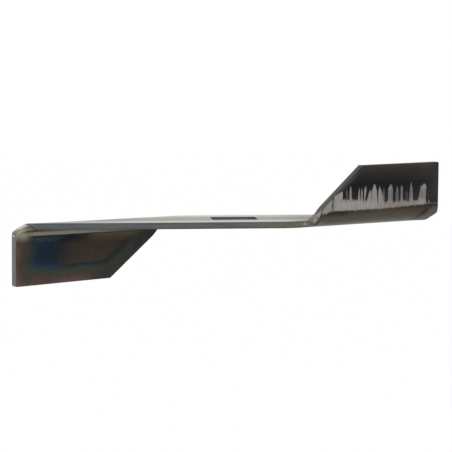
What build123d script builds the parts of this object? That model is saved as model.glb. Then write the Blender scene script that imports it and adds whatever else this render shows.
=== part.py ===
# Chopper knife: a flat steel bar with a square hole at its middle and a wing folded at each end.
# The folds run obliquely across the bar and are parallel. One wing stands up and the other hangs down,
# so each end is the other one seen through the middle of the hole.
# Lengths are in millimetres and angles in degrees. The origin is the middle of the hole, halfway through
# the plate. +X runs along the bar to the wing that stands up, and +Z runs along the shaft.

import os
from math import cos, pi, radians, sin, tan

from build123d import *

# The bar
bar_width = 76.2
plate_thickness = 4.76

# The square hole, which slides over a square shaft
shaft_across = 31.75
shaft_clearance = 0.25
hole_corner_radius = 1.2
hole_rim_chamfer = 0.5

# The folds: the angle between a fold and the bar's edges, where the bend starts on the bar's middle line,
# how far the plate turns, and the radius inside the bend
fold_angle = 36.5
fold_distance = 87.7
fold_turn = 89.0
fold_inner_radius = 5.6

# The wings: the height of the outer edge's far corner above the plate's middle, the length of the blade
# along the fold, and how far the outer edge leans out of line with the fold
wing_rise = 41.0
wing_reach = 140.0
tip_lean = 0.7
tip_corner_radius = 1.5

# Worked out from the sizes above
hole_across = shaft_across + 2 * shaft_clearance
half_thickness = plate_thickness / 2
fold_middle_radius = fold_inner_radius + half_thickness
bend_length = fold_middle_radius * radians(fold_turn)
bend_rise = fold_middle_radius * (1 - cos(radians(fold_turn)))
wing_height = (wing_rise - bend_rise) / sin(radians(fold_turn))

# A bar edge moves this far along the fold for each millimetre that it runs across it
edge_slant = 1 / tan(radians(fold_angle))
section_width = bar_width / sin(radians(fold_angle))
near_fold_x = fold_distance - bar_width / 2 * edge_slant
far_fold_x = fold_distance + bar_width / 2 * edge_slant

# The fold's own frame: Z is the axis of the bend, and X points from the axis to the flat plate
fold_frame = Plane(
    origin=(near_fold_x, -bar_width / 2, fold_middle_radius),
    x_dir=(0, 0, -1),
    z_dir=(cos(radians(fold_angle)), sin(radians(fold_angle)), 0),
)

# In that frame the flat of the wing starts where the bend ends: its X runs along the fold, and its Y
# points to the outer edge
wing_face = Vector(cos(radians(fold_turn)), -sin(radians(fold_turn)), 0)
wing_plane = Plane(origin=wing_face * fold_middle_radius, x_dir=(0, 0, 1), z_dir=wing_face)
end_cut = Plane.XY.offset(wing_reach)
outer_edge_cut = Plane(
    origin=wing_plane.from_local_coords(Vector(wing_reach, wing_height, 0)),
    z_dir=wing_plane.y_dir - Vector(0, 0, tan(radians(tip_lean))),
)

with BuildPart() as wing:
    # The bar's edges cross the bend obliquely, so the section moves along the axis as it turns
    with BuildLine() as bend_path:
        Helix(
            pitch=2 * pi * fold_middle_radius * edge_slant,
            height=bend_length * edge_slant,
            radius=fold_middle_radius,
            lefthand=True,
        )
    with BuildSketch(Plane.XZ) as bend_section:
        with Locations((fold_middle_radius, section_width / 2)):
            Rectangle(plate_thickness, section_width)
    sweep(path=bend_path.line, is_frenet=True)

    # The flat of the wing goes on between the same two slanted edges, past the cuts that finish it
    strip_start = bend_length * edge_slant
    strip_height = 2 * wing_height
    strip_end = strip_start + strip_height * edge_slant
    with BuildSketch(wing_plane) as wing_strip:
        with BuildLine():
            Polyline(
                (strip_start, 0),
                (strip_start + section_width, 0),
                (strip_end + section_width, strip_height),
                (strip_end, strip_height),
                close=True,
            )
        make_face()
    extrude(amount=half_thickness, both=True)

    # The end is cut square to the fold, and the outer edge nearly in line with it
    split(bisect_by=end_cut, keep=Keep.BOTTOM)
    split(bisect_by=outer_edge_cut, keep=Keep.BOTTOM)
    tip_corner = wing.edges().filter_by(Axis((0, 0, 0), wing_face)).sort_by(Axis.Z)[-1]
    fillet(tip_corner, tip_corner_radius)

with BuildPart() as chopper_knife:
    # The bar between the two folds
    with BuildSketch() as bar_outline:
        with BuildLine():
            Polyline(
                (-far_fold_x, -bar_width / 2),
                (near_fold_x, -bar_width / 2),
                (far_fold_x, bar_width / 2),
                (-near_fold_x, bar_width / 2),
                close=True,
            )
        make_face()
    extrude(amount=half_thickness, both=True)

    # The square hole, with its rims broken on both faces
    with BuildSketch() as hole_outline:
        RectangleRounded(hole_across, hole_across, hole_corner_radius)
    extrude(amount=half_thickness, both=True, mode=Mode.SUBTRACT)
    rim_edges = chopper_knife.edges(Select.LAST).filter_by(Axis.Z, reverse=True)
    chamfer(rim_edges, hole_rim_chamfer)

    # The wing that stands up, and the same wing turned through the middle of the hole
    with Locations(fold_frame):
        standing_wing = add(wing.part)
    hanging_wing = mirror(standing_wing, about=Plane.XY, mode=Mode.PRIVATE)
    add(hanging_wing, rotation=(0, 0, 180))

chopper_knife.part.label = "chopper_knife"
os.makedirs("parts", exist_ok=True)
export_step(chopper_knife.part, "parts/chopper_knife.step")
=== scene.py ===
from math import cos, radians, sin, tan

import bpy
from mathutils import Matrix, Vector


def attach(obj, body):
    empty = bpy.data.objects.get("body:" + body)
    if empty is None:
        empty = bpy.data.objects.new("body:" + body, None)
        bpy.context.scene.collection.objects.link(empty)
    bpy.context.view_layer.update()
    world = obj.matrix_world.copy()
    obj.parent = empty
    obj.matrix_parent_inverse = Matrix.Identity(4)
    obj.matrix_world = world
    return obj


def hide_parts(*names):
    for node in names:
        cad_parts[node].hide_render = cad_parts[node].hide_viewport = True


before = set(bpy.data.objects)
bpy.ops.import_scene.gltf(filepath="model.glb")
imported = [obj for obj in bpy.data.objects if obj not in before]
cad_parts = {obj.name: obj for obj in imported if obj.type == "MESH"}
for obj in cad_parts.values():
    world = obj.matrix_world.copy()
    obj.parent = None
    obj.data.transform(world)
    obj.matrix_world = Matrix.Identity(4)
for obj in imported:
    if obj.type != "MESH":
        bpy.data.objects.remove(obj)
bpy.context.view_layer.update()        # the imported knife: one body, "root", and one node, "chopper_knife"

# Metres and degrees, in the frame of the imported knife: the middle of the square hole is at the origin,
# x runs along the bar to the wing that stands up, and z runs along the shaft.
knife = {
    "barWidth": 0.0762,
    "thickness": 0.00476,
    "holeAcross": 0.03225,
    "holeCorner": 0.0012,
    "foldAngle": 36.5,       # between a fold and the bar's edges
    "foldDistance": 0.0877,  # from the hole to the start of the bend, on the bar's middle line
    "foldTurn": 89.0,
    "foldInnerRadius": 0.0056,
    "wingRise": 0.041,       # outer edge above the middle of the plate
    "wingReach": 0.140,      # along the fold, from the bar's near edge to the end cut
    "tipLean": 0.7,
    "tipCorner": 0.0015,
    "edgeRounding": 0.00035,
    "bendSteps": 28,
    "besideBend": (0.0012, 0.0025, 0.004, 0.0055),           # more cuts beside the bend
    "edgeInsets": (0.0012, 0.0026, 0.0045, 0.007, 0.0105),   # and beside the long edges, for the worked corners
    "creaseDepth": 0.0095,
    "creaseShare": 0.65,
    "drawnBack": 0.0042,
    "cornerPush": 0.0006,
}

foldAngle = radians(knife["foldAngle"])
foldTurn = radians(knife["foldTurn"])
bendRadius = knife["foldInnerRadius"] + knife["thickness"] / 2
bendLength = bendRadius * foldTurn
bendRise = bendRadius * (1 - cos(foldTurn))
flatHeight = bendLength + (knife["wingRise"] - bendRise) / sin(foldTurn)   # bend's start to outer edge, unfolded
along = Vector((cos(foldAngle), sin(foldAngle), 0))      # along the fold
across = Vector((sin(foldAngle), -cos(foldAngle), 0))    # across the fold, out to the wing's edge
halfWidth = knife["barWidth"] / 2
foldStart = Vector((knife["foldDistance"] - halfWidth / tan(foldAngle), -halfWidth, 0))
tipCorner = foldStart + along * knife["wingReach"] + across * flatHeight


# Finishes

def shade(red, green, blue):
    # A colour as it shows on a screen, 0 to 255, in the light values that a shader takes
    parts = (part / 255 for part in (red, green, blue))
    return tuple(part / 12.92 if part < 0.04 else ((part + 0.055) / 1.055) ** 2.4 for part in parts) + (1,)


class Wire:
    # One output of a material's nodes. The signs + - * / on it add Math nodes.
    def __init__(self, look, socket):
        self.look = look
        self.socket = socket

    def maths(self, operation, *values):
        return self.look.node("ShaderNodeMath", {"operation": operation}, dict(enumerate(values)))

    def __add__(self, other):
        return self.maths("ADD", self, other)

    def __radd__(self, other):
        return self.maths("ADD", other, self)

    def __sub__(self, other):
        return self.maths("SUBTRACT", self, other)

    def __rsub__(self, other):
        return self.maths("SUBTRACT", other, self)

    def __mul__(self, other):
        return self.maths("MULTIPLY", self, other)

    def __rmul__(self, other):
        return self.maths("MULTIPLY", other, self)

    def __truediv__(self, other):
        return self.maths("DIVIDE", self, other)

    def __abs__(self):
        return self.maths("ABSOLUTE", self)

    def least(self, other):
        return self.maths("MINIMUM", self, other)

    def most(self, other):
        return self.maths("MAXIMUM", self, other)

    def rise(self, low, high):
        # 0 below low and 1 above high, with a soft step between them; low may be the larger
        return self.look.node(
            "ShaderNodeMapRange", {"interpolation_type": "SMOOTHSTEP"},
            {"Value": self, "From Min": low, "From Max": high},
        )


class Look:
    # One material and the nodes that feed its shader
    def __init__(self, name, **constants):
        self.material = bpy.data.materials.new(name)
        self.material.use_nodes = True
        self.tree = self.material.node_tree
        self.shader = self.tree.nodes["Principled BSDF"]
        for socket, value in constants.items():
            self.shader.inputs[socket.replace("_", " ")].default_value = value

    def feed(self, socket, value):
        if isinstance(value, Wire):
            self.tree.links.new(value.socket, socket)
        else:
            socket.default_value = value

    def node(self, kind, settings, values, output=0):
        added = self.tree.nodes.new(kind)
        for setting, value in settings.items():
            if setting == "stops":
                self.fillRamp(added.color_ramp, value)
            else:
                setattr(added, setting, value)
        for socket, value in values.items():
            self.feed(added.inputs[socket], value)
        return Wire(self, added.outputs[output])

    def fillRamp(self, ramp, stops):
        while len(ramp.elements) < len(stops):
            ramp.elements.new(0.5)
        for element, (position, colour) in zip(ramp.elements, stops):
            element.position = position
            element.color = colour

    def blend(self, mask, base, over):
        return self.node(
            "ShaderNodeMix", {"data_type": "RGBA"}, {"Factor": mask, 6: base, 7: over}, output=2,
        )

    def noise(self, place, scale, detail=3.0, roughness=0.5):
        return self.node(
            "ShaderNodeTexNoise", {}, {"Vector": place, "Scale": scale, "Detail": detail, "Roughness": roughness},
        )

    def vector(self, x, y, z):
        return self.node("ShaderNodeCombineXYZ", {}, {"X": x, "Y": y, "Z": z})

    def scaled(self, colour, factor):
        return self.node(
            "ShaderNodeVectorMath", {"operation": "SCALE"}, {"Vector": colour, "Scale": factor}, output="Vector",
        )

    def part(self, vector, name):
        return self.node("ShaderNodeSeparateXYZ", {}, {"Vector": vector}, output=name)


class Plate(Look):
    # A look whose patterns are laid out on the flat plate, before it is folded, in millimetres
    def __init__(self, name, **constants):
        super().__init__(name, **constants)
        self.place = self.node("ShaderNodeAttribute", {"attribute_name": "flat"}, {}, output="Vector")
        self.x = self.part(self.place, "X")
        self.y = self.part(self.place, "Y")
        self.z = self.part(self.place, "Z")
        side = self.x.maths("SIGN", self.x)
        self.isRight = self.x.rise(-1, 1)
        fromStartX = abs(self.x) - foldStart.x * 1000
        fromStartY = self.y * side - foldStart.y * 1000
        self.reach = fromStartX * along.x + fromStartY * along.y         # along the fold, from the near edge
        self.height = fromStartX * across.x + fromStartY * across.y      # across the fold, from the bend's start
        self.toEnd = knife["wingReach"] * 1000 - self.reach
        self.toOuter = (flatHeight * 1000 - self.toEnd * tan(radians(knife["tipLean"]))) - self.height
        self.toSlant = fromStartY
        self.toFar = knife["barWidth"] * 1000 - fromStartY
        self.toRim = self.toEnd.least(self.toOuter).least(self.toSlant).least(self.toFar)


# Light grey scrapes that the folding die leaves on the outside of a wing, just past the bend. Each runs
# from its top down to the foot: (left and right at the top, left and right at the foot, top, strength,
# how sharply it comes to a point), in millimetres along and across the fold.
scrapes = [
    (18.0, 30.9, 17.0, 30.9, 24.0, 0.90, 0.5),
    (31.9, 40.3, 31.6, 40.4, 30.5, 1.00, 0.5),
    (41.3, 42.3, 40.6, 43.0, 22.4, 0.95, 0.6),
    (43.2, 45.3, 43.2, 45.2, 28.8, 0.30, 0.6),
    (45.0, 46.2, 44.4, 46.8, 21.6, 0.95, 0.6),
    (47.1, 49.0, 46.4, 49.5, 30.8, 0.95, 1.0),
    (55.7, 57.5, 55.2, 58.0, 29.1, 0.95, 0.9),
    (58.5, 60.0, 58.0, 60.9, 28.6, 0.85, 0.9),
    (61.8, 64.6, 61.2, 62.3, 30.0, 1.00, 0.7),
    (67.3, 68.9, 63.8, 69.9, 28.0, 0.95, 0.8),
    (69.7, 74.4, 69.3, 75.3, 30.5, 1.00, 1.0),
    (76.3, 78.3, 75.5, 82.4, 29.2, 0.95, 0.8),
    (80.8, 82.6, 80.0, 83.0, 28.2, 0.35, 0.6),
    (86.4, 91.1, 85.7, 91.3, 30.6, 0.85, 0.9),
    (94.1, 97.2, 93.7, 97.6, 28.4, 0.50, 0.5),
    (99.2, 101.9, 99.0, 101.4, 29.4, 0.80, 0.5),
    (100.4, 101.6, 98.4, 103.6, 21.6, 0.60, 0.8),
    (104.6, 107.2, 104.4, 107.6, 25.5, 0.18, 0.5),
    (109.8, 111.5, 108.0, 112.9, 32.4, 0.85, 1.6),
    (120.1, 121.3, 118.4, 121.4, 29.2, 0.80, 1.0),
    (122.0, 127.3, 117.6, 126.2, 30.1, 0.92, 0.6),
    (128.8, 130.7, 128.7, 130.9, 18.0, 0.75, 0.6),
]


def scrapeMask(look, seed):
    # 0 to 1 over a wing's outside: the separate scrapes, and the solid foot that they rise from
    ragged = look.noise(look.vector(look.reach * 1.3, look.height * 0.10, seed), 1.0, 4.0, 0.6) - 0.5
    fine = look.noise(look.vector(look.reach * 4.0, look.height * 0.25, seed + 7), 1.0, 3.0, 0.6) - 0.5
    teeth = look.noise(look.vector(look.reach * 2.3, look.height * 0.04, seed + 5), 1.0, 2.0, 0.5) - 0.5
    reach = look.reach + ragged * 0.9 + fine * 0.6
    height = look.height - ragged * 1.6 - teeth * 6.0
    footHeight = 17.5
    mask = 0.0
    for leftTop, rightTop, leftFoot, rightFoot, top, strength, point in scrapes:
        below = top - height
        drop = (below / (top - footHeight)).most(0).least(1.3) if top > 19 else 0.0
        middle = (leftTop + rightTop + drop * (leftFoot + rightFoot - leftTop - rightTop)) / 2
        half = (rightTop - leftTop + drop * (rightFoot - leftFoot - rightTop + leftTop)) / 2
        narrowed = (below / (1.2 + 3.0 * point)).most(0).least(1)
        body = half * narrowed.maths("SQRT", narrowed) - abs(reach - middle)
        mask = (body.rise(-0.05, 0.5) * below.rise(0, 0.6) * strength).most(mask)
    slits = (ragged * 0.5 + teeth * 0.8 + fine * 0.3).rise(-0.02, -0.12) * look.height.rise(18, 21)
    mask = mask * (1 - slits * 0.75)
    mask = mask * (look.toSlant - 0.3 - look.height.rise(24, 27) * 2.0 + ragged * 0.7).rise(-0.1, 0.5)
    # the foot: high and bare at the left, lower and browner to the right
    footTop = 20.6 - look.reach.rise(46, 84) * 2.6 + ragged * 4.5 + teeth * 5.0
    foot = (footTop - look.height).rise(-0.3, 1.0) * (0.97 - look.reach.rise(60, 100) * 0.08)
    foot = foot * look.reach.rise(30.5, 31.5) * look.toEnd.rise(12.6, 13.6)
    mask = mask.most(foot)
    # it starts at the die's line, ragged, a little higher towards the wing's end, and under the slanted
    # edge it follows that edge
    towardsEnd = (look.reach - 60) / 100
    start = 12.6 + towardsEnd * towardsEnd * 4.0 + fine * 2.4 + teeth * 3.2 - look.reach.rise(32, 20) * 1.8
    mask = mask * (look.height - start).rise(0.0, 0.9)
    seam = abs(look.reach - 30.7 - (look.height - 20) * 0.12 + ragged * 2.2).rise(0.95, 0.35)
    return mask * (1 - seam * look.height.rise(13, 15) * 0.8)


def foldedOutside(look, seed, wander):
    # The outside of a fold: olive brown round the bend, scraped bare past it, then blue black and brown
    height = look.height + wander * 0.35
    colour = look.node("ShaderNodeValToRGB", {"stops": [
        (0.00, shade(96, 93, 84)),
        (0.12, shade(82, 77, 67)),
        (0.22, shade(78, 70, 60)),
        (0.30, shade(48, 44, 40)),
        (0.44, shade(44, 41, 39)),
        (0.56, shade(31, 32, 33)),
        (0.66, shade(23, 27, 30)),
        (0.75, shade(36, 38, 37)),
        (0.84, shade(46, 42, 39)),
        (0.93, shade(60, 54, 51)),
        (1.00, shade(72, 67, 63)),
    ]}, {"Fac": height / 47})
    colour = look.blend((look.toEnd + wander).rise(16, 2) * height.rise(13, 20), colour, shade(44, 40, 38))
    nearRoot = look.reach.rise(62, 30) * look.height.rise(10, 4)
    colour = look.blend(nearRoot * 0.7, colour, shade(62, 63, 56))
    dark = (look.height - 9.5 + wander * 0.3).rise(0, 2) * look.reach.rise(60, 40) * look.height.rise(15, 14)
    colour = look.blend(dark * 0.7, colour, shade(42, 42, 40))
    redder = look.reach.rise(112, 126) * look.height.rise(13, 10) * look.height.rise(2, 8)
    colour = look.blend(redder * 0.6, colour, shade(56, 47, 39))
    bySlant = (look.toSlant + wander * 0.1).rise(3.6, 1.4) * look.height.rise(17, 20) * look.height.rise(44, 34)
    colour = look.blend(bySlant * 0.9, colour, shade(66, 66, 63))
    farStrip = look.toFar.rise(8.0, 5.5) * look.height.rise(14, 10)
    colour = look.blend(farStrip * 0.8, colour, shade(92, 89, 80))
    farBand = abs(look.toFar - 9.5 + wander * 0.2).rise(2.2, 0.6) * look.height.rise(14, 10)
    colour = look.blend(farBand * 0.7, colour, shade(44, 38, 33))
    scraped = scrapeMask(look, seed)
    grain = look.noise(look.vector(look.reach * 2.2, look.height * 0.10, seed + 3), 1.0, 4.0, 0.65)
    bare = look.node("ShaderNodeValToRGB", {"stops": [
        (0.28, shade(126, 120, 116)),
        (0.50, shade(154, 150, 148)),
        (0.72, shade(174, 170, 168)),
    ]}, {"Fac": grain})
    brownFoot = look.reach.rise(70, 88) * look.reach.rise(122, 112) * look.height.rise(22, 15)
    bare = look.blend(brownFoot * 0.7, bare, shade(142, 131, 120))
    dimmer = look.reach.rise(80, 90) * look.height.rise(28, 25) * look.height.rise(17, 20)
    bare = look.blend(dimmer * 0.45, bare, shade(104, 98, 93))
    colour = look.blend(scraped, colour, bare)
    lastLine = abs(look.height - 15.1).rise(0.8, 0.2) * look.toEnd.rise(13, 12)
    return look.blend(lastLine * 0.6, colour, shade(98, 96, 92)), scraped


def foldedInside(look, seed, wander):
    # The inside of a fold: a painted reflection in a band along the bend, then heat tints in rings that follow
    # the wing's edges
    outerTint = look.toOuter.most(look.toOuter * 2.6 - 18)
    bendTint = look.height * 1.5 - 8.0 + look.toEnd.rise(32, 55) * 20
    rings = look.toEnd.maths("SMOOTH_MIN", look.toEnd, outerTint, 18.0)
    rings = rings.maths("SMOOTH_MIN", rings, bendTint, 24.0) + 0.8
    rings = rings.maths("SMOOTH_MIN", rings, look.toSlant * 1.1 + 1.5, 8.0)
    rings = rings + wander * (1 - look.toEnd.rise(15, 45) * 0.55)
    tint = look.node("ShaderNodeValToRGB", {"stops": [
        (0.00, shade(90, 77, 66)),
        (0.06, shade(78, 63, 60)),
        (0.12, shade(65, 58, 52)),
        (0.17, shade(58, 60, 52)),
        (0.23, shade(48, 56, 54)),
        (0.28, shade(42, 55, 62)),
        (0.36, shade(33, 46, 60)),
        (0.46, shade(31, 42, 54)),
        (0.58, shade(35, 41, 48)),
        (0.72, shade(47, 47, 46)),
        (1.00, shade(60, 55, 47)),
    ]}, {"Fac": rings / 50})
    # the blue is strongest by the end cut, and inwards of it the middle of the wing is brown
    greyer = (look.toEnd + wander).rise(26, 48) * rings.rise(9, 13)
    tint = look.blend(greyer * 0.75, tint, shade(37, 41, 40))
    middle = (look.toEnd + wander * 1.5 + look.height.rise(19, 13) * -14).rise(30, 58) * (rings - 14.0).rise(0, 5)
    tint = look.blend(middle, tint, shade(62, 56, 47))
    bySlant = (look.toSlant + wander * 0.6).rise(13.5, 7)
    tint = look.blend(bySlant * look.toEnd.rise(20, 45), tint, shade(56, 58, 54))
    olive = look.height.rise(20, 12) * look.reach.rise(84, 70) * look.toSlant.rise(6, 14)
    tint = look.blend(olive * 0.8, tint, shade(92, 84, 68))
    # and lighter again towards the outer edge
    lift = look.height.rise(27, 34) * look.toSlant.rise(8, 20) * 0.2 + 1
    tint = look.scaled(tint, lift)
    corner = look.toEnd.rise(16, 5) * (look.height + wander * 0.6).rise(15.5, 9)
    tint = look.blend(corner, tint, shade(140, 136, 118))
    # the bend: a painted reflection in its hollow, lighter towards the end cut
    bend = (look.height + wander * 0.12).rise(11.2, 10.2)
    bendReflection = look.node("ShaderNodeValToRGB", {"stops": [
        (0.00, shade(86, 86, 80)),
        (0.45, shade(108, 108, 100)),
        (1.00, shade(126, 124, 116)),
    ]}, {"Fac": look.reach.rise(40, 105)})
    tint = look.blend(bend * (1 - corner), tint, bendReflection)
    seam = abs(look.height - 11.4 + wander * 0.1).rise(0.8, 0.2) * look.toEnd.rise(10, 16)
    tint = look.blend(seam * 0.7, tint, shade(32, 31, 28))
    # pale rub marks just past it
    rubs = look.noise(look.vector(look.reach * 0.35, look.height * 2.2, seed + 2), 1.0, 3.0, 0.6).rise(0.5, 0.62)
    rubs = rubs * abs(look.height - 14.2).rise(1.5, 0.5) * look.toEnd.rise(12, 17) * look.toEnd.rise(40, 32)
    return look.blend(rubs * 0.6, tint, shade(84, 96, 106))


def faceLook(name, seed, isTop):
    look = Plate(name, Metallic=1.0)
    patches = look.noise(look.vector(look.x, look.y, seed * 9), 0.07, 4.0, 0.6)
    mottle = look.noise(look.vector(look.x, look.y, seed * 5), 0.55, 5.0, 0.65)
    wander = (patches - 0.5) * 13 + (mottle - 0.5) * 2.5
    outside, scraped = foldedOutside(look, seed, wander)
    inside = foldedInside(look, seed, wander)
    isOutside = 1 - look.isRight if isTop else look.isRight
    colour = look.blend(isOutside, inside, outside)
    # the flat bar between the wings: rolled grey plate, with bands along it on the upper face
    bands = look.noise(look.vector(look.x * 0.012, look.y * 0.16, seed), 1.0, 5.0, 0.6)
    if isTop:
        stops = [(0.32, shade(116, 106, 97)), (0.50, shade(135, 126, 117)), (0.68, shade(142, 135, 128))]
    else:
        stops = [(0.32, shade(72, 70, 66)), (0.52, shade(88, 85, 80)), (0.70, shade(98, 92, 85))]
    plate = look.node("ShaderNodeValToRGB", {"stops": stops}, {"Fac": bands * 0.8 + mottle * 0.2})
    if isTop:
        # brighter along both edges, and browner towards the bends
        bright = (abs(look.y + 2 + (bands - 0.5) * 34) + wander * 0.8).rise(9, 27)
        plate = look.blend(bright * 0.8, plate, shade(158, 156, 152))
        streaked = look.x + wander * 2.5 + (bands - 0.5) * 50
        brown = streaked.rise(14, 62).most(streaked.rise(-52, -96) * 0.5)
        plate = look.blend(brown * 0.85, plate, shade(90, 78, 66))
    else:
        bright = 0.0
    colour = look.blend(look.height.rise(3.0, -1.5), colour, plate)
    look.feed(look.shader.inputs["Base Color"], look.scaled(colour, (mottle - 0.5) * 0.8 + 1.0))
    smooth = bright * look.height.rise(3.0, -1.5)
    look.feed(look.shader.inputs["Roughness"], 0.34 + mottle * 0.12 + scraped * 0.08 - smooth * 0.12)
    bump = look.node("ShaderNodeBump", {}, {"Strength": 0.25, "Distance": 0.0001, "Height": mottle + scraped})
    look.feed(look.shader.inputs["Normal"], bump)
    return look.material


def edgeLook():
    # The cut and rolled edges, with a painted highlight along the bar's upper corner
    look = Plate("edgeSteel", Metallic=1.0)
    along = look.noise(look.vector(look.x * 0.05, look.y * 0.05, look.z * 0.5), 1.0, 5.0, 0.6)
    fine = look.noise(look.vector(look.x * 1.2, look.y * 1.2, look.z * 0.3), 1.0, 3.0, 0.6)
    colour = look.node("ShaderNodeValToRGB", {"stops": [
        (0.32, shade(84, 86, 84)),
        (0.50, shade(96, 99, 100)),
        (0.66, shade(103, 105, 103)),
    ]}, {"Fac": along * 0.75 + fine * 0.25})
    nearBend = look.height.rise(-26, -6) * look.toFar.rise(20, 30)
    colour = look.blend(nearBend, colour, look.node("ShaderNodeValToRGB", {"stops": [
        (0.35, shade(98, 95, 87)),
        (0.65, shade(112, 110, 103)),
    ]}, {"Fac": fine}))
    # the bar's edge faces are darker towards both of the plate's faces
    darkerByFaces = look.z.rise(1.0, 1.6) * 0.4 + look.z.rise(-1.1, -2.2) * 0.5
    colour = look.blend(darkerByFaces * look.height.rise(2, -2), colour, shade(66, 66, 63))
    onWing = look.height.rise(2, 8)
    colour = look.blend(onWing, colour, look.node("ShaderNodeValToRGB", {"stops": [
        (0.30, shade(91, 87, 82)),
        (0.50, shade(80, 77, 74)),
        (0.70, shade(62, 62, 60)),
        (1.00, shade(50, 48, 46)),
    ]}, {"Fac": look.height / 47 + (fine - 0.5) * 0.4}))
    endCut = look.toEnd.rise(0.8, 0.4)
    colour = look.blend(endCut, colour, look.node("ShaderNodeValToRGB", {"stops": [
        (0.35, shade(104, 107, 98)),
        (0.65, shade(122, 124, 117)),
    ]}, {"Fac": fine}))
    # a painted highlight on the end cut
    glint = abs(look.height - 10.6) + abs(look.z)
    colour = look.blend(endCut * glint.rise(1.3, 0.5) * 0.8, colour, shade(228, 228, 222))
    # at the bend's far end the outer half of the edge catches the light and is painted lighter too, a painted
    # highlight, and the inner half is tinted; a line of painted shade marks where the bend begins
    outward = look.z * (1 - look.isRight * 2)
    pastStart = look.height - outward * 0.75 - 1.8
    farEdge = look.toFar.rise(0.8, 0.4)
    bendStartShade = farEdge * abs(pastStart + 0.6).rise(1.0, 0.2)
    colour = look.blend(bendStartShade * 0.7, colour, shade(66, 62, 56))
    colour = look.blend(farEdge * pastStart.rise(-0.4, 0.5), colour, look.node("ShaderNodeValToRGB", {"stops": [
        (0.40, shade(104, 101, 84)),
        (0.49, shade(74, 72, 62)),
        (0.54, shade(60, 58, 54)),
        (0.62, shade(118, 117, 113)),
    ]}, {"Fac": outward / 4.76 + 0.5}))
    # at its near end the edge is lighter on both sides of the crease, with a painted highlight on each side and
    # painted shade along the crease
    nearEdge = look.toSlant.rise(0.8, 0.4)
    lighterByCrease = (look.height - outward * 0.2 - 3.8).rise(-2.6, -0.6) * look.height.rise(10.5, 8.0)
    colour = look.blend(nearEdge * lighterByCrease, colour, look.node("ShaderNodeValToRGB", {"stops": [
        (0.35, shade(98, 96, 91)),
        (0.65, shade(114, 112, 107)),
    ]}, {"Fac": fine}))
    # two painted highlights, one on each side of the crease
    for height, out, size in ((4.4, 0.2, 1.6), (8.0, 0.9, 1.3)):
        creaseHighlight = abs(look.height - height) + abs(outward - out)
        colour = look.blend(nearEdge * creaseHighlight.rise(size, size * 0.4), colour, shade(142, 141, 136))
    # painted shade along the crease
    crease = abs(look.height - 6.3).rise(0.8, 0.3) * nearEdge
    colour = look.blend(crease * 0.6, colour, shade(78, 77, 72))
    # along the wings' outer edges and end cuts, a painted highlight on one rounded corner and painted shade on
    # the other
    wingRim = look.toOuter.least(look.toEnd).rise(1.0, 0.5) * onWing
    colour = look.blend(wingRim * look.z.rise(-2.05, -2.3), colour, shade(120, 118, 112))
    colour = look.blend(wingRim * look.z.rise(1.5, 2.1) * 0.8, colour, shade(62, 63, 58))
    # one rusty spot on the near edge
    rust = abs(look.x - 44.6) + abs(look.z + 0.2) + (fine - 0.5) * 1.5
    colour = look.blend(rust.rise(1.7, 0.5) * look.toSlant.rise(0.8, 0.4) * 0.6, colour, shade(72, 66, 48))
    # a painted highlight along the bar's upper corner, near its long edges and not round the hole
    upperCornerHighlight = look.z.rise(2.05, 2.3) * look.height.rise(3, -3) * (look.x + 130).rise(0, 60)
    upperCornerHighlight = upperCornerHighlight * look.toFar.least(look.toSlant).rise(3, 1)
    colour = look.blend(upperCornerHighlight, colour, shade(204, 200, 193))
    look.feed(look.shader.inputs["Base Color"], colour)
    look.feed(look.shader.inputs["Roughness"], 0.38 + fine * 0.12)
    return look.material


# The blade

def startFresh():
    if bpy.context.object and bpy.context.object.mode != "OBJECT":
        bpy.ops.object.mode_set(mode="OBJECT")
    bpy.ops.object.select_all(action="DESELECT")


def applyModifier(piece, kind, **settings):
    modifier = piece.modifiers.new(kind.title(), kind)
    for setting, value in settings.items():
        setattr(modifier, setting, value)
    bpy.ops.object.modifier_apply(modifier=modifier.name)


def cutLine(point, outward, trim):
    bpy.ops.mesh.select_all(action="SELECT")
    bpy.ops.mesh.bisect(plane_co=point, plane_no=outward, clear_outer=trim)


def cutBlank():
    # The knife before it is folded: a strip of plate, cut to its outline at both ends
    startFresh()
    bpy.ops.mesh.primitive_plane_add(size=1, location=(0, 0, 0))
    blank = bpy.context.object
    blank.name = "knifeBlade"
    blank.scale = (2.1 * tipCorner.x, knife["barWidth"], 1)
    bpy.ops.object.transform_apply(location=False, rotation=False, scale=True)
    bpy.ops.object.mode_set(mode="EDIT")
    outerEdgeOut = across - along * tan(radians(knife["tipLean"]))
    for end in (1, -1):
        cutLine(end * tipCorner, end * along, True)
        cutLine(end * tipCorner, end * outerEdgeOut, True)
        heights = [bendLength * step / knife["bendSteps"] for step in range(knife["bendSteps"] + 1)]
        for beyond in knife["besideBend"]:
            heights += [-beyond, bendLength + beyond]
        for height in heights:
            cutLine(end * (foldStart + across * height), end * across, False)
        for inset in knife["edgeInsets"]:
            cutLine((0, end * (halfWidth - inset), 0), (0, 1, 0), False)
        holeSide = end * knife["holeAcross"] / 2
        cutLine((holeSide, 0, 0), (1, 0, 0), False)
        cutLine((0, holeSide, 0), (0, 1, 0), False)
    bpy.ops.object.mode_set(mode="OBJECT")
    return blank


def selectWhere(piece, kind, wanted):
    # Leaves the piece in edit mode with the faces or vertices at the wanted places selected
    bpy.ops.object.mode_set(mode="EDIT")
    bpy.ops.mesh.select_mode(type=kind)
    bpy.ops.mesh.select_all(action="DESELECT")
    bpy.ops.object.mode_set(mode="OBJECT")
    things = piece.data.polygons if kind == "FACE" else piece.data.vertices
    for thing in things:
        thing.select = wanted(thing.center if kind == "FACE" else thing.co)
    bpy.ops.object.mode_set(mode="EDIT")


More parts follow.
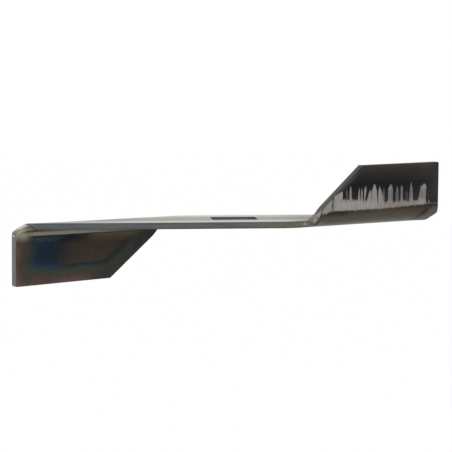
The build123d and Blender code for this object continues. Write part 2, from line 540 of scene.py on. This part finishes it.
def punchHole(blank):
    selectWhere(blank, "FACE", lambda place: place.length < knife["holeAcross"] / 4)
    bpy.ops.mesh.delete(type="FACE")
    holeReach = knife["holeAcross"] / 2 + 1e-5
    selectWhere(blank, "VERT", lambda place: abs(place.x) < holeReach and abs(place.y) < holeReach)
    bpy.ops.mesh.bevel(offset=knife["holeCorner"], segments=5, affect="VERTICES")


def roundTips(blank):
    selectWhere(blank, "VERT", lambda place: min((place - tipCorner).length, (place + tipCorner).length) < 1e-5)
    bpy.ops.mesh.bevel(offset=knife["tipCorner"], segments=5, affect="VERTICES")
    bpy.ops.object.mode_set(mode="OBJECT")


def keepFlatPlaces(piece):
    # Every point remembers where it lay on the flat plate, in millimetres, and the finishes follow that
    flat = piece.data.attributes.new("flat", "FLOAT_VECTOR", "POINT")
    for vert, kept in zip(piece.data.vertices, flat.data):
        kept.vector = vert.co * 1000


def softStep(value, low, high):
    share = min(max((value - low) / (high - low), 0), 1)
    return share * share * (3 - 2 * share)


def workCorners(piece, end):
    # What folding does where the plate's long edges cross the bend. At the near edge the metal is creased
    # and drawn back, most of all outside, and at the far edge the outside stays flat a little longer.
    for vert in piece.data.vertices:
        height = (vert.co - end * foldStart).dot(end * across)
        depth = end * vert.co.y + halfWidth
        side = vert.co.z * end / knife["thickness"]       # half above 0 inside this fold, half below outside
        nearEdge = 1 - softStep(depth, 0, knife["creaseDepth"])
        farEdge = 1 - softStep(knife["barWidth"] - depth, 0, knife["creaseDepth"])
        if 0 < height < bendLength:
            turned = height / bendRadius
            push = (bendRadius - end * vert.co.z) * (1 / cos(min(turned, foldTurn - turned)) - 1)
            push *= nearEdge * (knife["creaseShare"] + 0.3 * side)
            bulge = softStep(1 - abs(height - 0.0034) / 0.0028, 0, 1)
            push += knife["cornerPush"] * farEdge * softStep(-side, 0, 0.5) * bulge
            vert.co.z -= end * push
        drawn = softStep(height, -0.004, 0.005) * (1 - softStep(height, 0.0075, 0.017))
        vert.co += end * along * drawn * nearEdge * knife["drawnBack"] * (1 - 0.6 * side)


def foldWing(piece, end):
    # Folds one end about its bend line; the empty's x points across the fold, and its z along it
    bpy.ops.object.empty_add(location=end * foldStart)
    bendFrame = bpy.context.object
    turn = Matrix((end * across, (0, 0, -1), end * along)).transposed()
    bendFrame.matrix_world = Matrix.Translation(end * foldStart) @ turn.to_4x4()
    startFresh()
    piece.select_set(True)
    bpy.context.view_layer.objects.active = piece
    inward = [(vert.co - end * foldStart).dot(end * across) for vert in piece.data.vertices]
    reach = max(inward) - min(inward)
    limits = (-min(inward) / reach, (bendLength - min(inward)) / reach)
    applyModifier(
        piece, "SIMPLE_DEFORM", deform_method="BEND", deform_axis="Z", origin=bendFrame,
        angle=-end * foldTurn, limits=limits,
    )
    bpy.data.objects.remove(bendFrame)


blade = cutBlank()
punchHole(blade)
roundTips(blade)
for look in (faceLook("upperSteel", 4, True), edgeLook(), faceLook("undersideSteel", 1, False)):
    blade.data.materials.append(look)
applyModifier(
    blade, "SOLIDIFY", thickness=knife["thickness"], offset=0,
    material_offset=2, material_offset_rim=1,
)
applyModifier(
    blade, "BEVEL", width=knife["edgeRounding"], segments=3, limit_method="ANGLE",
    angle_limit=radians(50), material=1,
)
keepFlatPlaces(blade)
print("blank:", len(blade.data.vertices), "vertices")
for end in (1, -1):
    workCorners(blade, end)
for end in (1, -1):
    foldWing(blade, end)
bpy.ops.object.shade_smooth_by_angle(angle=radians(35))
print("folded:", [round(side, 4) for side in blade.dimensions])

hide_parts("chopper_knife")
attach(blade, "root")

# The camera, as far from the knife and as high as the photograph's
view = {
    "azimuth": -4.037,
    "elevation": 3.888,
    "roll": -0.189,
    "distance": 1.10116,
    "shiftRight": 0.005693,   # how far the knife's middle stands to the right of the view's middle
    "shiftUp": 0.003068,
    "focalPixels": 1544.56,   # for an image 452 pixels wide
    "imagePixels": 452,
}
azimuth = radians(view["azimuth"])
elevation = radians(view["elevation"])
back = Vector((sin(azimuth) * cos(elevation), -cos(azimuth) * cos(elevation), sin(elevation)))
right = Vector((cos(azimuth), sin(azimuth), 0))
up = back.cross(right)
cameraData = bpy.data.cameras.new("camera")
cameraData.sensor_width = 36
cameraData.lens = view["focalPixels"] / view["imagePixels"] * cameraData.sensor_width
cameraData.clip_start = 0.05
camera = bpy.data.objects.new("camera", cameraData)
bpy.context.scene.collection.objects.link(camera)
place = back * view["distance"] - right * view["shiftRight"] - up * view["shiftUp"]
facing = Matrix((right, up, back)).transposed() @ Matrix.Rotation(radians(view["roll"]), 3, "Z")
camera.matrix_world = Matrix.Translation(place) @ facing.to_4x4()
bpy.context.scene.camera = camera

# A plain white room: lamps and floor light the knife evenly, and what the camera and the steel see is white
room = {
    "floorHeight": -0.25,
    "floorSize": 30.0,
    "floorColour": (0.86, 0.86, 0.855, 1),
    "skyStrength": 0.6,
    "lampPlace": (-0.7, -0.6, 1.0),
    "lampSize": 0.8,
    "lampPower": 9.0,
}


def seenDirectly(tree):
    # 1 for what the camera sees, straight, through glass or in a polished face, and 0 for the light it casts
    path = tree.nodes.new("ShaderNodeLightPath")
    seen = path.outputs["Is Camera Ray"]
    for name in ("Is Glossy Ray", "Is Transmission Ray"):
        either = tree.nodes.new("ShaderNodeMath")
        either.operation = "MAXIMUM"
        tree.links.new(seen, either.inputs[0])
        tree.links.new(path.outputs[name], either.inputs[1])
        seen = either.outputs[0]
    return seen


def setRoom():
    scene = bpy.context.scene
    world = bpy.data.worlds.new("studio")
    world.use_nodes = True
    background = world.node_tree.nodes["Background"]
    background.inputs["Color"].default_value = (1, 1, 1, 1)
    strength = world.node_tree.nodes.new("ShaderNodeMapRange")
    strength.inputs["To Min"].default_value = room["skyStrength"]
    strength.inputs["To Max"].default_value = 1.0
    world.node_tree.links.new(seenDirectly(world.node_tree), strength.inputs["Value"])
    world.node_tree.links.new(strength.outputs["Result"], background.inputs["Strength"])
    scene.world = world
    scene.view_settings.view_transform = "Standard"

    startFresh()
    bpy.ops.mesh.primitive_plane_add(size=room["floorSize"], location=(0, 0, room["floorHeight"]))
    floor = bpy.context.object
    floor.name = "floor"
    paint = bpy.data.materials.new("paleFloor")
    paint.use_nodes = True
    tree = paint.node_tree
    shader = tree.nodes["Principled BSDF"]
    shader.inputs["Base Color"].default_value = room["floorColour"]
    shader.inputs["Roughness"].default_value = 0.9
    glow = tree.nodes.new("ShaderNodeEmission")
    mixed = tree.nodes.new("ShaderNodeMixShader")
    share = tree.nodes.new("ShaderNodeMath")
    share.operation = "MULTIPLY"
    share.inputs[1].default_value = 0.99
    tree.links.new(seenDirectly(tree), share.inputs[0])
    tree.links.new(share.outputs[0], mixed.inputs["Fac"])
    tree.links.new(shader.outputs["BSDF"], mixed.inputs[1])
    tree.links.new(glow.outputs["Emission"], mixed.inputs[2])
    tree.links.new(mixed.outputs["Shader"], tree.nodes["Material Output"].inputs["Surface"])
    floor.data.materials.append(paint)

    lamp = bpy.data.lights.new("softLamp", "AREA")
    lamp.size = room["lampSize"]
    lamp.energy = room["lampPower"]
    softLamp = bpy.data.objects.new("softLamp", lamp)
    softLamp.location = room["lampPlace"]
    softLamp.rotation_euler = (-Vector(room["lampPlace"])).to_track_quat("-Z", "Y").to_euler()
    scene.collection.objects.link(softLamp)


setRoom()
